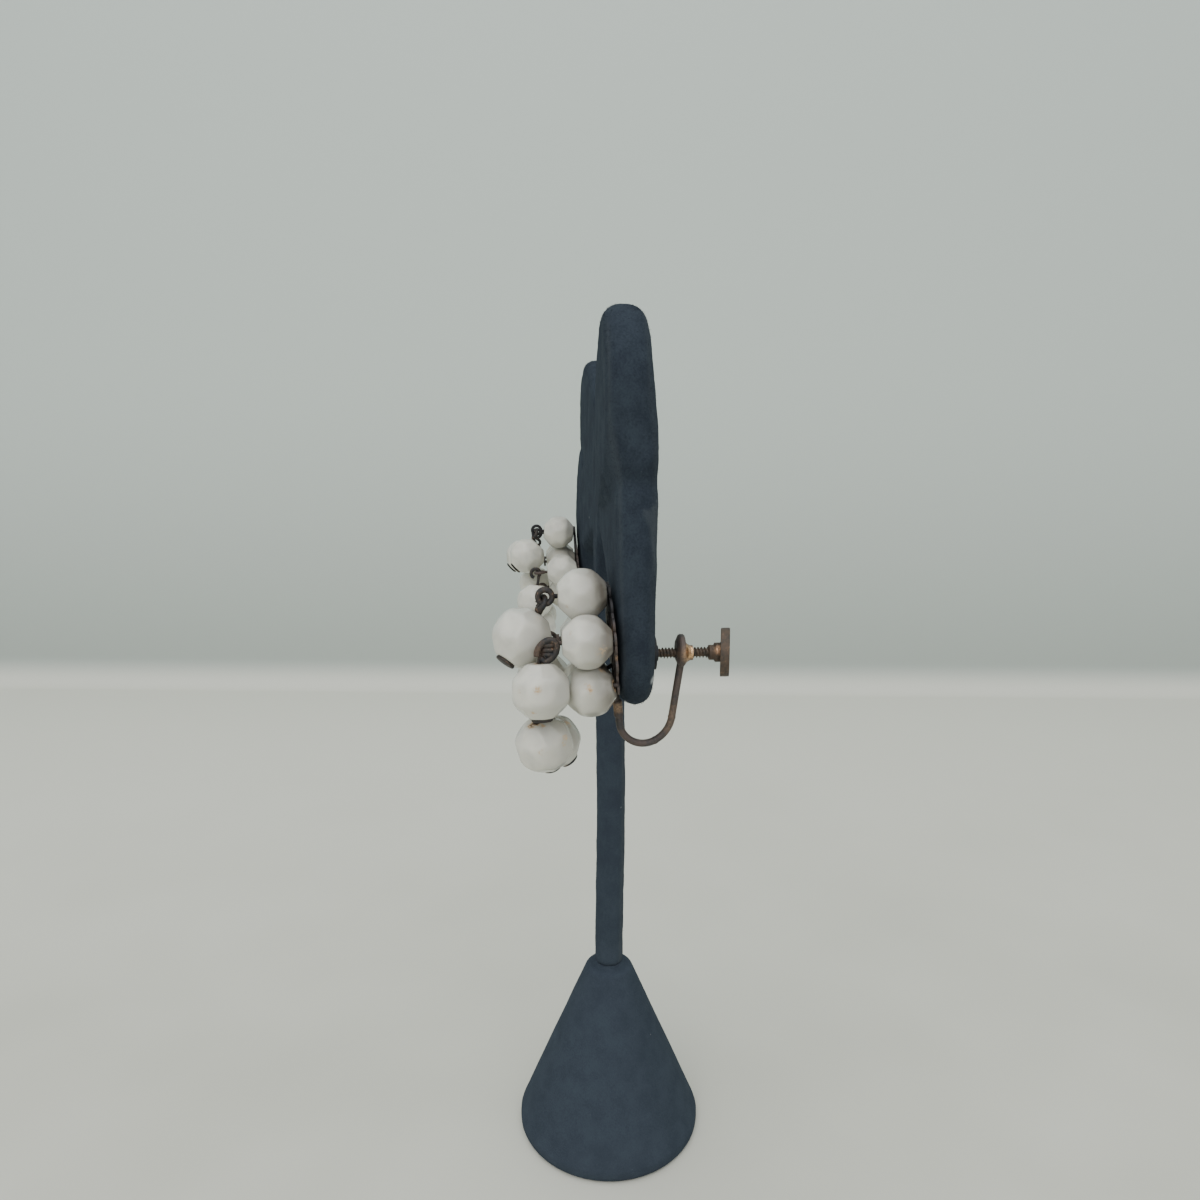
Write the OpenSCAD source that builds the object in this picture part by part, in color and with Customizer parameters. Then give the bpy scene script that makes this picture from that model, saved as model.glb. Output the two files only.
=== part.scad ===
// A pair of bead cluster earrings with screw backs, on a velvet covered display stand.
// The origin is the centre of the stand's underside. Z is up and the front faces -Y.
// The right earring hangs at +X and the left one at -X.

/* [Stand] */
// Radius of the weighted foot at the table
base_r = 16.6; // [14:0.1:20]
// Height at which the foot's slope would come to a point
base_apex = 43.7; // [42:0.1:47]
// Height of the small neck on top of the foot
neck_z = 32.1; // [31:0.1:34]
// Width of the stem, seen from the front
stem_w = 5.4; // [4:0.1:7]
// Thickness of the stem
stem_t = 5; // [4.4:0.1:5.4]

/* [Beads] */
// Diameter of the beads that are wired to the plate
bead_d = 6.4; // [6:0.05:6.45]
// Radius of the wire that holds them
wire_r = 0.3; // [0.25:0.01:0.32]
// Gap between a wire and the hole round it
hole_gap = 0.08; // [0.05:0.01:0.12]
// Radius of the middle line of each wire loop
loop_r = 0.9; // [0.85:0.01:0.95]
// Distance from a wired bead's middle to its loop's middle
eye_reach = 4.6; // [4.5:0.05:4.7]
// Radius of the flat head of a pin
head_r = 1.3; // [1:0.05:1.5]
// Thickness of that head
head_t = 0.4; // [0.3:0.05:0.5]

/* [Ear wire] */
// Radius of the round ear wire
ear_wire_r = 0.48; // [0.44:0.01:0.5]
// Radius of the pierced plate behind the beads
plate_r = 7; // [6.6:0.1:7.2]
// Thickness of that plate
plate_t = 0.3; // [0.25:0.05:0.35]

/* [Screw] */
// Outer radius of the screw's thread
thread_r = 0.72; // [0.68:0.01:0.74]
// Depth of the thread
thread_depth = 0.2; // [0.1:0.01:0.25]
// Advance of the screw in one turn
pitch = 0.42; // [0.38:0.01:0.46]
// Gap between the thread and the collar's bore
bore_gap = 0.05; // [0.03:0.01:0.08]
// Radius of the round thumb disc
thumb_r = 3.15; // [2.8:0.05:3.4]
// Thickness of the thumb disc
thumb_t = 1.2; // [1:0.05:1.4]

/* [Hidden] */
SIDES = ["right", "left"];

// Each earring: the x, y and z of its middle bead, and how far its top leans out
EARRING = [
    [38.0, -6.1, 101.25, 4.5],
    [-38.0, -7.4, 101.3, 4.5],
];

// The wired beads round the middle one: place on the ring, distance from the middle,
// how far the wire through each points down and to the side, and how far its loop is
// turned (0 stands upright, 90 lies flat)
RING = [
    [
        [9, 6.5, -3, -1, 90],
        [69, 6.5, -3, 0, 0],
        [129, 6.5, 0, 0, 0],
        [189, 6.5, 2, -2, 0],
        [249, 6.5, 27, 0, 90],
        [309, 7.1, 10, -15, 0],
    ],
    [
        [-10, 7.0, 0, 0, 90],
        [65, 7.0, -10, 0, 0],
        [125, 7.0, 0, 0, 0],
        [180, 7.0, 1, -2, 0],
        [235, 7.0, 6, 6, 0],
        [292, 7.0, 6, 1, 0],
    ],
];

// The hanging beads: x, y and z from the loop that holds each, its diameter, how far
// the lower end of its pin leans forward and to +X, and how far its loop is turned
HANG = [
    [
        [1.0, -1.0, -5.55, 6.95, -2, 8, 0],
        [0.0, -2.85, -5.2, 7.3, 35, 25, 68],
        [-0.7, -3.4, -4.75, 6.5, 45, -10, 90],
        [-1.3, -0.85, -5.6, 7.0, 5, -8, 90],
        [0.0, -0.6, -5.9, 6.9, -35, -10, 0],
        [1.15, -1.5, -5.65, 7.0, -15, -15, 90],
    ],
    [
        [0.7, -1.1, -5.8, 7.0, 10, 5, 0],
        [0.15, -2.0, -5.4, 7.0, 45, 0, 75],
        [0.0, -3.1, -4.9, 7.0, 45, -5, 90],
        [-1.0, -0.9, -5.6, 7.0, 5, -8, 90],
        [-0.1, -0.55, -5.9, 7.0, -5, 0, 90],
        [0.8, -0.8, -5.85, 7.0, -10, 5, 90],
    ],
];

// The stand's head is drawn with flat round pads, and its skin is stretched over them.
// Each pad: x, z, radius, thickness, and how far it is pushed back
BODY = [0, 120.4, 10.4, 5, 0];
WING_ROOT = [0, 121, 8.5, 4.6, 0];
// Those of the right wing, and then of the left one, which is mirrored
EAR_INNER = [[17, 129, 9.5, 4.9, -0.4], [17, 129, 9.5, 4.7, 0.2]];
EAR_TOP = [[33, 131.5, 11.2, 5.6, -1.05], [33, 131.2, 10.9, 4.9, 0.8]];
EAR_SIDE = [[36.2, 124.5, 7.8, 5.1, 0], [36.2, 124.5, 7.8, 4.9, 1]];
LOBE_SIDE = [[36.1, 118, 7.8, 5.1, 0], [36.1, 118, 7.8, 4.8, 0.2]];
LOBE_TOP = [[35.6, 111.5, 9.2, 4.8, -0.15], [35.6, 111.5, 9.2, 4.8, -0.15]];
LOBE_LOW = [[37.8, 99.6, 6.9, 4.2, 0.1], [37.8, 99.6, 6.9, 4.2, 0.1]];
// How far each wing turns forward about the middle crease
WING_TURN = [0, 1.9];
EDGE_R = 2.2;
// Where the stem starts to widen into the head
taper_z = 98;

// The foot's outline, worked out from its slope
foot_rim = 1.8;
base_slope = base_r / (base_apex - foot_rim);
shoulder_z = 23.9;
shoulder_r = base_slope * (base_apex - shoulder_z);
shoulder_round = 0.95;
neck_r = 2.9;
neck_hollow = 1.4;

// The bead's facets lie a little inside its round form
FACETS = 8;
facet_in = 0.965;
table_in = 0.93;
plate_gap = 0.03;
bead_r = bead_d / 2;
hole_r = wire_r + hole_gap;
// The wire is a little thinner in a bead than at its loop
pin_r = wire_r - 0.03;
// How far a hanging loop's middle lies below the wire it hangs on
link_slack = 0.12;
// How far a pin stands out of its bead before it bends into its loop
pin_out = 0.45;
head_gap = 0.05;
rivet_r = 0.9;

// Ear wire, collar and screw, as y from the earring's middle and z above the foot
axis_z = 99.2;
y_shift = [0, -1.25];
collar_y = 5.55;
collar_disc_r = 2.1;
// How far the collar's disc is set up from its bore
collar_disc_up = 0.33;
collar_neck_r = 0.97;
collar_end = 7.7;
bore_r = thread_r + bore_gap;
pad_y = 2.55;
pad_r = 2.1;
pad_t = 0.35;
pad_boss = 0.3;
tip_r = 0.5;
tip_gap = 0.05;
thread_y = pad_y + pad_t + pad_boss + 0.03;
hub_y = 9.75;
hub_step_y = 10.45;
thumb_y = 11.35;
hub_small_r = 0.98;
hub_r = 1.25;
// The bend's two arcs: y and z of the middle, and radius
ARC_LOW = [1.45, 90.3, 3.15];
arc_meet = -61;
arc_top = -8.3;
ARC_HIGH = [0.9, 91.3, 4.3];
// Angle by which each arc stops short of its neighbour
arc_short = 1;
LEG = [[ARC_LOW[0] - ARC_LOW[2], ARC_LOW[1]], [-1.92, 92.4], [-2.58, 95.2]];
SOLDER = [[-1.79, 91.2], [-1.95, 92.7]];
solder_r = 0.6;

// A direction that points out of the plate, turned down by a and sideways by b
function aim(a, b) = [sin(b) * cos(a), -cos(b) * cos(a), -sin(a)];
function out_dir(e) = aim(EARRING[e][3], 0);
function middle(e) = [EARRING[e].x, EARRING[e].y, EARRING[e].z];
// A point at angle a and distance r on the leaning ring
function on_ring(e, a, r) = middle(e)
    + r * [cos(a), -sin(a) * sin(EARRING[e][3]), sin(a) * cos(EARRING[e][3])];
function ring_bead(e, k) = on_ring(e, RING[e][k][0], RING[e][k][1]);
function eye_dir(e, k) = aim(EARRING[e][3] + RING[e][k][2], RING[e][k][3]);
function eye(e, k) = ring_bead(e, k) + eye_reach * eye_dir(e, k);
function hang(e, k) = [HANG[e][k][0], HANG[e][k][1], HANG[e][k][2]];
function drop_r(e, k) = HANG[e][k][3] / 2;
// The point at angle a on the bend's upper arc
function on_high_arc(a) = [0, ARC_HIGH[0] + ARC_HIGH[2] * cos(a), ARC_HIGH[1] + ARC_HIGH[2] * sin(a)];
function drop(e, k) = eye(e, k) + hang(e, k);
function unit(v) = v / norm(v);
// The part of v that lies flat on the plane with the normal n
function flat(v, n) = unit(cross(n, cross(v, n)));
// The spot on the wired loop that carries a hanging bead: its foot, or its front if it
// lies flat, and then the middle of the loop that hangs on it
function perch(e, k) = eye(e, k) + loop_r * (RING[e][k][4] > 45
    ? eye_dir(e, k)
    : flat(hang(e, k), eye_normal(e, k)));
function link(e, k) = perch(e, k) + link_slack * unit(drop(e, k) - perch(e, k));
// The way from a hanging bead's loop end to its pin's head
function pin_dir(e, k) = let (a = HANG[e][k][4], b = HANG[e][k][5])
    [sin(b) * cos(a), -sin(a), -cos(b) * cos(a)];
// The normal of a loop that runs along v: to the side, and turned about v by a
function loop_normal(v, a) = let (s = flat([1, 0, 0], v)) cos(a) * s + sin(a) * cross(v, s);
function eye_normal(e, k) = loop_normal(eye_dir(e, k), RING[e][k][4]);
function link_normal(e, k) = loop_normal(unit(drop(e, k) - perch(e, k)), HANG[e][k][6]);

// Turns what stands on +Z to stand along v
module along(v) {
    u = unit(v);
    turn = acos(u.z);
    axle = norm([u.x, u.y]) < 0.0001 ? [1, 0, 0] : [-u.y, u.x, 0];
    rotate(a = turn, v = axle)
        children();
}

// A round rod from p to q
module rod(p, q, r) {
    translate(p)
        along(q - p)
            cylinder(h = norm(q - p), r = r, $fn = 16);
}

module ball(p, r) {
    translate(p)
        sphere(r = r, $fn = 16);
}

// A closed wire loop with its middle at p and its flat side facing n
module wire_loop(p, n) {
    translate(p)
        along(n)
            rotate_extrude($fn = 28)
                translate([loop_r, 0])
                    circle(r = wire_r, $fn = 14);
}

// A round pad with a soft edge, for stretching skin over, and less thick by the given amount
module round_pad(p, less = 0) {
    r = p[2];
    t = p[3] - less;
    edge = min(EDGE_R, t / 2);
    translate([p[0], p[4] + t / 2, p[1]])
        rotate([90, 0, 0])
            rotate_extrude($fn = 32)
                polygon(concat(
                    [[0, 0]],
                    [for (a = [-90:22.5:0]) [r - edge + edge * cos(a), edge + edge * sin(a)]],
                    [for (a = [0:22.5:90]) [r - edge + edge * cos(a), t - edge + edge * sin(a)]],
                    [[0, t]]
                ));
}

// A glass bead with three rows of facets and a hole along Z
module cut_bead(r) {
    a = facet_in * r;
    corner = a / cos(180 / FACETS);
    slope_r = a * sqrt(2);
    difference() {
        intersection() {
            sphere(r = r, $fn = 48);
            cylinder(h = 2 * table_in * r, r = corner, center = true, $fn = FACETS);
            rotate(180 / FACETS) {
                union() {
                    cylinder(h = slope_r, r1 = slope_r / cos(180 / FACETS), r2 = 0, $fn = FACETS);
                    mirror([0, 0, 1])
                        cylinder(h = slope_r, r1 = slope_r / cos(180 / FACETS), r2 = 0, $fn = FACETS);
                }
            }
        }
        cylinder(h = 3 * r, r = hole_r, center = true, $fn = 24);
    }
}

// The weighted foot: a cone with a small rim, a round shoulder and a neck for the stem
module stand_foot() {
    color([0.11, 0.15, 0.19])
        rotate_extrude($fn = 96)
            polygon(concat(
                [[0, 0], [base_r, 0], [base_r, foot_rim]],
                [for (a = [-22:14:62]) [
                    shoulder_r - shoulder_round + shoulder_round * cos(a),
                    shoulder_z + shoulder_round * sin(a)
                ]],
                [for (a = [242:-15.5:180]) [
                    neck_r + neck_hollow + neck_hollow * cos(a),
                    neck_z - 0.6 + neck_hollow * sin(a)
                ]],
                [[neck_r, neck_z], [0, neck_z]]
            ));
}

// One wing of the stand's head: an ear above and a lobe below
module wing(w) {
    rotate(-WING_TURN[w]) {
        hull() {
            round_pad(WING_ROOT, 0.3);
            round_pad(EAR_INNER[w]);
            round_pad(EAR_TOP[w]);
            round_pad(EAR_SIDE[w]);
        }
        hull() {
            round_pad(LOBE_SIDE[w]);
            round_pad(LOBE_TOP[w], 0.04);
            round_pad(LOBE_LOW[w]);
        }
        hull() {
            round_pad(WING_ROOT, 0.5);
            round_pad(LOBE_TOP[w], 0.4);
        }
    }
}

// The stem's section: a rectangle with round corners
module stem_section(height) {
    linear_extrude(height)
        polygon([
            for (c = [[1, 1, 0], [-1, 1, 90], [-1, -1, 180], [1, -1, 270]])
                for (a = [0:18:90]) [
                    c[0] * (stem_w / 2 - EDGE_R) + EDGE_R * cos(c[2] + a),
                    c[1] * (stem_t / 2 - EDGE_R) + EDGE_R * sin(c[2] + a)
                ]
        ]);
}

// The flat head with its two wings, and the stem below it
module stand_head() {
    color([0.12, 0.16, 0.2]) {
        wing(0);
        mirror([1, 0, 0])
            wing(1);
        hull() {
            round_pad(BODY);
            translate([0, 0, taper_z])
                stem_section(1);
        }
        translate([0, 0, neck_z])
            stem_section(taper_z + 3 - neck_z);
    }
}

// The pierced plate, lying across its own +Z
module pierced_plate(e) {
    linear_extrude(plate_t)
        difference() {
            union() {
                circle(r = plate_r - 0.7, $fn = 48);
                for (a = [0:24:336])
                    rotate(a)
                        translate([plate_r - 1, 0])
                            circle(r = 1, $fn = 14);
                for (k = [0:5])
                    rotate(RING[e][k][0])
                        translate([RING[e][k][1], 0])
                            circle(r = 0.9, $fn = 14);
            }
            for (a = [0:24:336])
                rotate(a + 12)
                    translate([plate_r - 2.3, 0])
                        circle(r = 0.62, $fn = 14);
            for (a = [0:40:320])
                rotate(a)
                    translate([plate_r - 4.2, 0])
                        circle(r = 0.68, $fn = 16);
        }
}

// The wire that is bent round under the lobe, in the plane x = 0
module ear_hook() {
    rotate([90, 0, 90]) {
        // The plane's first axis is y and its second is z
        translate([ARC_LOW[0], ARC_LOW[1]])
            rotate(180)
                rotate_extrude(angle = 180 + arc_meet - arc_short, $fn = 48)
                    translate([ARC_LOW[2], 0])
                        circle(r = ear_wire_r, $fn = 16);
        translate([ARC_HIGH[0], ARC_HIGH[1]])
            rotate(arc_meet + arc_short)
                rotate_extrude(angle = arc_top - arc_meet - 2 * arc_short, $fn = 48)
                    translate([ARC_HIGH[2], 0])
                        circle(r = ear_wire_r, $fn = 16);
    }
    // Balls close the short gaps between the arcs and the straight end
    for (a = [arc_meet, arc_top])
        ball(on_high_arc(a), ear_wire_r + 0.04);
    up = [0, -sin(arc_top), cos(arc_top)];
    rod(on_high_arc(arc_top) + 0.1 * up, on_high_arc(arc_top) + 7.3 * up, ear_wire_r);
    for (i = [0:1])
        rod([0, LEG[i][0], LEG[i][1]], [0, LEG[i + 1][0], LEG[i + 1][1]], ear_wire_r);
    for (i = [0:1])
        ball([0, LEG[i][0], LEG[i][1]], ear_wire_r + 0.04);
    // A worn blob of solder
    rod([0, SOLDER[0][0], SOLDER[0][1]], [0, SOLDER[1][0], SOLDER[1][1]], solder_r);
    for (s = SOLDER)
        ball([0, s[0], s[1]], solder_r + 0.03);
}

// The flared collar that the screw runs through, along +Y: a domed disc, set a little
// high, and a hollow flare down to a short neck
module collar() {
    translate([0, 0, axis_z])
        rotate([-90, 0, 0])
            difference() {
                union() {
                    translate([0, -collar_disc_up, 0])
                        rotate_extrude($fn = 48)
                            polygon([
                                [0, collar_y],
                                [1.3, collar_y],
                                [collar_disc_r - 0.12, collar_y + 0.3],
                                [collar_disc_r, collar_y + 0.5],
                                [collar_disc_r, collar_y + 0.92],
                                [collar_disc_r - 0.12, collar_y + 1.05],
                                [0, collar_y + 1.1]
                            ]);
                    rotate_extrude($fn = 48)
                        polygon([
                            [0, collar_y + 0.6],
                            [1.55, collar_y + 0.6],
                            [1.62, collar_y + 1.12],
                            [1.36, collar_y + 1.27],
                            [1.14, collar_y + 1.5],
                            [1.0, collar_y + 1.78],
                            [collar_neck_r, collar_y + 1.82],
                            [collar_neck_r, collar_end],
                            [0, collar_end]
                        ]);
                }
                translate([0, 0, collar_y - 1])
                    cylinder(h = collar_end - collar_y + 2, r = bore_r, $fn = 48);
            }
}

// The wires that hold the beads, each with a loop in front, and a rivet in the middle
module bead_wires(e) {
    back = bead_r + plate_gap + plate_t / 2;
    for (k = [0:5]) {
        d = eye_dir(e, k);
        reach = back / (d * out_dir(e));
        rod(ring_bead(e, k) - reach * d, eye(e, k) - (loop_r - 0.05) * d, pin_r);
        wire_loop(eye(e, k), eye_normal(e, k));
    }
    front = middle(e) + (bead_r + head_gap) * out_dir(e);
    rod(middle(e) - back * out_dir(e), front + head_t / 2 * out_dir(e), pin_r);
    rod(front, front + head_t * out_dir(e), rivet_r);
}

// Plate, wires, hook and collar, all soldered into one
module ear_wire(e) {
    color([0.38, 0.27, 0.16]) {
        translate(middle(e) - (bead_r + plate_gap + plate_t) * out_dir(e))
            rotate([90 + EARRING[e][3], 0, 0])
                pierced_plate(e);
        bead_wires(e);
        translate([EARRING[e].x, y_shift[e], 0]) {
            difference() {
                ear_hook();
                translate([0, collar_y + 0.2, axis_z])
                    rotate([-90, 0, 0])
                        cylinder(h = 2, r = bore_r + 0.3, $fn = 24);
            }
            collar();
        }
    }
}

// The round pad on the screw's tip that rests on the lobe's back
module pad(e) {
    color([0.45, 0.31, 0.17])
        translate([EARRING[e].x, y_shift[e], axis_z])
            rotate([-90, 0, 0])
                difference() {
                    union() {
                        translate([0, 0, pad_y])
                            cylinder(h = pad_t, r = pad_r, $fn = 48);
                        translate([0, 0, pad_y])
                            cylinder(h = pad_t + pad_boss, r = 1, $fn = 32);
                    }
                    translate([0, 0, pad_y + 0.12])
                        cylinder(h = 2, r = tip_r + tip_gap, $fn = 32);
                }
}

// The screw: a plain tip, ring grooves for its thread, a stepped hub and a thumb disc
module screw(e) {
    turns = floor((hub_y - thread_y) / pitch);
    root = thread_r - thread_depth;
    color([0.5, 0.33, 0.2])
        translate([EARRING[e].x, y_shift[e], axis_z])
            rotate([-90, 0, 0])
                rotate_extrude($fn = 48)
                    polygon(concat(
                        [[0, pad_y + 0.2], [tip_r, pad_y + 0.2], [tip_r, thread_y], [root, thread_y]],
                        [for (i = [0:turns - 1]) each [
                            [thread_r, thread_y + (i + 0.35) * pitch],
                            [thread_r, thread_y + (i + 0.5) * pitch],
                            [root, thread_y + (i + 0.85) * pitch],
                            [root, thread_y + (i + 1) * pitch]
                        ]],
                        [
                            [root, hub_y],
                            [hub_small_r, hub_y + 0.1],
                            [hub_small_r, hub_step_y],
                            [hub_r, hub_step_y + 0.15],
                            [hub_r, thumb_y],
                            [thumb_r - 0.12, thumb_y],
                            [thumb_r, thumb_y + 0.12],
                            [thumb_r, thumb_y + thumb_t - 0.12],
                            [thumb_r - 0.12, thumb_y + thumb_t],
                            [0, thumb_y + thumb_t]
                        ]
                    ));
}

// A bead on the plate, strung on wire number k
module plate_bead(e, k) {
    color([0.86, 0.86, 0.83])
        translate(ring_bead(e, k))
            along(eye_dir(e, k))
                rotate(17 * k)
                    cut_bead(bead_r);
}

module middle_bead(e) {
    color([0.86, 0.86, 0.83])
        translate(middle(e))
            along(out_dir(e))
                cut_bead(bead_r);
}

// A bead that hangs from loop number k
module drop_bead(e, k) {
    color([0.88, 0.88, 0.84])
        translate(drop(e, k))
            along(pin_dir(e, k))
                rotate(23 * k)
                    cut_bead(drop_r(e, k));
}

// Its pin: a flat head below, a straight wire through the bead and a loop above
module drop_pin(e, k) {
    c = drop(e, k);
    v = pin_dir(e, k);
    top = c - (drop_r(e, k) + pin_out) * v;
    foot = c + (table_in * drop_r(e, k) + head_gap) * v;
    l = link(e, k);
    n = link_normal(e, k);
    rim = l + loop_r * flat(top - l, n);
    color([0.3, 0.22, 0.16]) {
        rod(foot, foot + head_t * v, head_r);
        rod(foot, top, pin_r);
        ball(top, wire_r);
        rod(top, rim, pin_r);
        wire_loop(l, n);
    }
}

stand_foot();
stand_head();
for (e = [0, 1]) {
    ear_wire(e);
    pad(e);
    screw(e);
    middle_bead(e);
    for (k = [0:5]) {
        plate_bead(e, k);
        drop_bead(e, k);
        drop_pin(e, k);
    }
}
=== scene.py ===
import math

import bmesh
import bpy
import numpy as np
from mathutils import Matrix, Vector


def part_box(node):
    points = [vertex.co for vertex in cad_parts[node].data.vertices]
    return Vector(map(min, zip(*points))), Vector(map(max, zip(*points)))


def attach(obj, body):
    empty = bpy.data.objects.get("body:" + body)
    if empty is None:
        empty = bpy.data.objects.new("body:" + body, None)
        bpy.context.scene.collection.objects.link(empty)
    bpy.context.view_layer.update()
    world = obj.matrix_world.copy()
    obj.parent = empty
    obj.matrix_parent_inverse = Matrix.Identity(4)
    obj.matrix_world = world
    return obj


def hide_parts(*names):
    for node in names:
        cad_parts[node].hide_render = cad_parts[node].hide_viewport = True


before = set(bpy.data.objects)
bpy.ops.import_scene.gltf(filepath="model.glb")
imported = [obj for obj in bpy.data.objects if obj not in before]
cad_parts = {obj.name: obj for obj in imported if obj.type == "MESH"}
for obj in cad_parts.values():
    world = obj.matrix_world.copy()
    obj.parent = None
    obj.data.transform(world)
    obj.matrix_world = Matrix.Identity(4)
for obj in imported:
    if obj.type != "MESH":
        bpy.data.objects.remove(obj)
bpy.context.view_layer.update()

# The camera stands beside the right earring and a little above it, and looks along the stand.
# Its place, its two angles and its lens were fitted to the photograph's square frame.
mm = 0.001
eye_place = np.array([145.48, -11.53, 125.49]) * mm
turn_left = 0.068
look_down = 0.177
focal_px = 866
picture_px = 1200
forward = np.array([
    -math.cos(turn_left) * math.cos(look_down),
    math.sin(turn_left) * math.cos(look_down),
    -math.sin(look_down),
])
rightward = np.array([math.sin(turn_left), math.cos(turn_left), 0.0])
upward = np.cross(rightward, forward)
camera = bpy.data.objects.new("camera", bpy.data.cameras.new("camera"))
camera.data.sensor_width = 36
camera.data.lens = focal_px / picture_px * camera.data.sensor_width
camera.data.clip_start = 5 * mm
camera.matrix_world = Matrix([
    [rightward[0], upward[0], -forward[0], eye_place[0]],
    [rightward[1], upward[1], -forward[1], eye_place[1]],
    [rightward[2], upward[2], -forward[2], eye_place[2]],
    [0, 0, 0, 1],
])
bpy.context.scene.collection.objects.link(camera)
bpy.context.scene.camera = camera


# The table is a plain pale board that bends up softly into a pale grey-green wall.
# One profile along X, floor, bend and wall, is carried along Y.
def add_node(tree, kind, inputs=None, **settings):
    """Adds a shader node. An input takes a plain value or the socket that feeds it."""
    node = tree.nodes.new(kind)
    for name, value in settings.items():
        setattr(node, name, value)
    for name, value in (inputs or {}).items():
        if isinstance(value, bpy.types.NodeSocket):
            tree.links.new(value, node.inputs[name])
        else:
            node.inputs[name].default_value = value
    return node


def new_material(name):
    """A material with only its output and its shader, and the place on the piece as a socket."""
    material = bpy.data.materials.new(name)
    material.use_nodes = True
    tree = material.node_tree
    shader = tree.nodes["Principled BSDF"]
    place = tree.nodes.new("ShaderNodeTexCoord").outputs["Object"]
    return material, tree, shader, place


def clouds(tree, place, size, detail=3.0, rough=0.55, stretch=(1, 1, 1)):
    """Noise from 0 to 1 whose blots are about the given size across, in metres."""
    scaled = add_node(tree, "ShaderNodeMapping", {"Vector": place, "Scale": stretch})
    noise = add_node(tree, "ShaderNodeTexNoise", {
        "Vector": scaled.outputs[0], "Scale": 1 / size, "Detail": detail, "Roughness": rough,
    })
    return noise.outputs["Fac"]


def between(tree, value, low, high, out_low=0.0, out_high=1.0):
    """The value, stretched from low..high to out_low..out_high and clamped, with soft ends."""
    node = add_node(tree, "ShaderNodeMapRange", {
        "Value": value, "From Min": low, "From Max": high, "To Min": out_low, "To Max": out_high,
    }, interpolation_type="SMOOTHSTEP")
    return node.outputs[0]


def blended(tree, share, first, second):
    """The first colour where share is 0 and the second where it is 1."""
    node = add_node(tree, "ShaderNodeMix", data_type="RGBA")
    for socket, value in ((node.inputs[0], share), (node.inputs[6], first), (node.inputs[7], second)):
        if isinstance(value, bpy.types.NodeSocket):
            tree.links.new(value, socket)
        else:
            socket.default_value = (*value, 1)
    return node.outputs[2]


def roughen(tree, shader, height, strength, depth):
    """Bumps on the shader's surface, as deep as given where height goes from 0 to 1."""
    bumps = add_node(tree, "ShaderNodeBump", {"Height": height, "Strength": strength, "Distance": depth})
    tree.links.new(bumps.outputs[0], shader.inputs["Normal"])


def put_mesh(name, points, quads, tris=None):
    """An object at the origin from arrays: points, four-sided faces and three-sided faces."""
    faces = [] if quads is None else np.asarray(quads).reshape(-1, 4).tolist()
    if tris is not None:
        faces += np.asarray(tris).reshape(-1, 3).tolist()
    mesh = bpy.data.meshes.new(name)
    mesh.from_pydata(np.asarray(points).reshape(-1, 3).tolist(), [], faces)
    mesh.polygons.foreach_set("use_smooth", np.ones(len(faces), bool))
    mesh.update()
    piece = bpy.data.objects.new(name, mesh)
    bpy.context.scene.collection.objects.link(piece)
    return piece


floor_front = 520 * mm
wall_x = -297 * mm
bend_r = 15 * mm
wall_top = 1100 * mm
half_width = 1300 * mm
# The wall stands a little askew: its right side is nearer by this share of the way across
wall_askew = 0.10
bend = np.linspace(0, math.pi / 2, 17)
floor_x = np.array([floor_front, 200 * mm, 0, -100 * mm, wall_x + bend_r + 1 * mm])
stage_x = np.r_[floor_x, wall_x + bend_r - bend_r * np.sin(bend), wall_x]
stage_z = np.r_[0 * floor_x, bend_r - bend_r * np.cos(bend), wall_top]
stage_y = np.linspace(-half_width, half_width, 9)
grid = np.stack(np.broadcast_arrays(stage_x[:, None], stage_y[None, :], stage_z[:, None]), axis=2)
grid[len(floor_x) - 1:, :, 0] += wall_askew * stage_y
index = np.arange(grid.shape[0] * grid.shape[1]).reshape(grid.shape[:2])
backdrop = put_mesh("backdrop", grid, np.stack(
    [index[:-1, :-1], index[:-1, 1:], index[1:, 1:], index[1:, :-1]], axis=2)[:, :, ::-1])
# The table is painted darker towards the camera and the wall darker near the floor: painted shade.
table_far = (0.68, 0.68, 0.60)
table_near_shaded = (0.49, 0.485, 0.42)
wall_low_shaded = (0.375, 0.41, 0.375)
wall_high = (0.57, 0.625, 0.58)
# Where each colour passes into the next: along X on the table, and by height on the wall
table_fade = (-250 * mm, 60 * mm)
wall_fade = (-60 * mm, 170 * mm)
edge_fade = (1 * mm, 14 * mm)
backdrop_paint, tree, shader, place = new_material("pale board")
split = add_node(tree, "ShaderNodeSeparateXYZ", {"Vector": place})
table_mix = blended(tree, between(tree, split.outputs["X"], *table_fade), table_far, table_near_shaded)
table_mix = blended(tree, clouds(tree, place, 60 * mm, 2.0), table_mix, table_far)
wall_mix = blended(tree, between(tree, split.outputs["Z"], *wall_fade), wall_low_shaded, wall_high)
on_wall = between(tree, split.outputs["Z"], *edge_fade)
tree.links.new(blended(tree, on_wall, table_mix, wall_mix), shader.inputs["Base Color"])
shader.inputs["Roughness"].default_value = 0.9
shader.inputs["Specular IOR Level"].default_value = 0.2
roughen(tree, shader, clouds(tree, place, 1.2 * mm, 2.0, stretch=(1, 0.15, 1)), 0.12, 0.1 * mm)
backdrop.data.materials.append(backdrop_paint)

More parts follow.
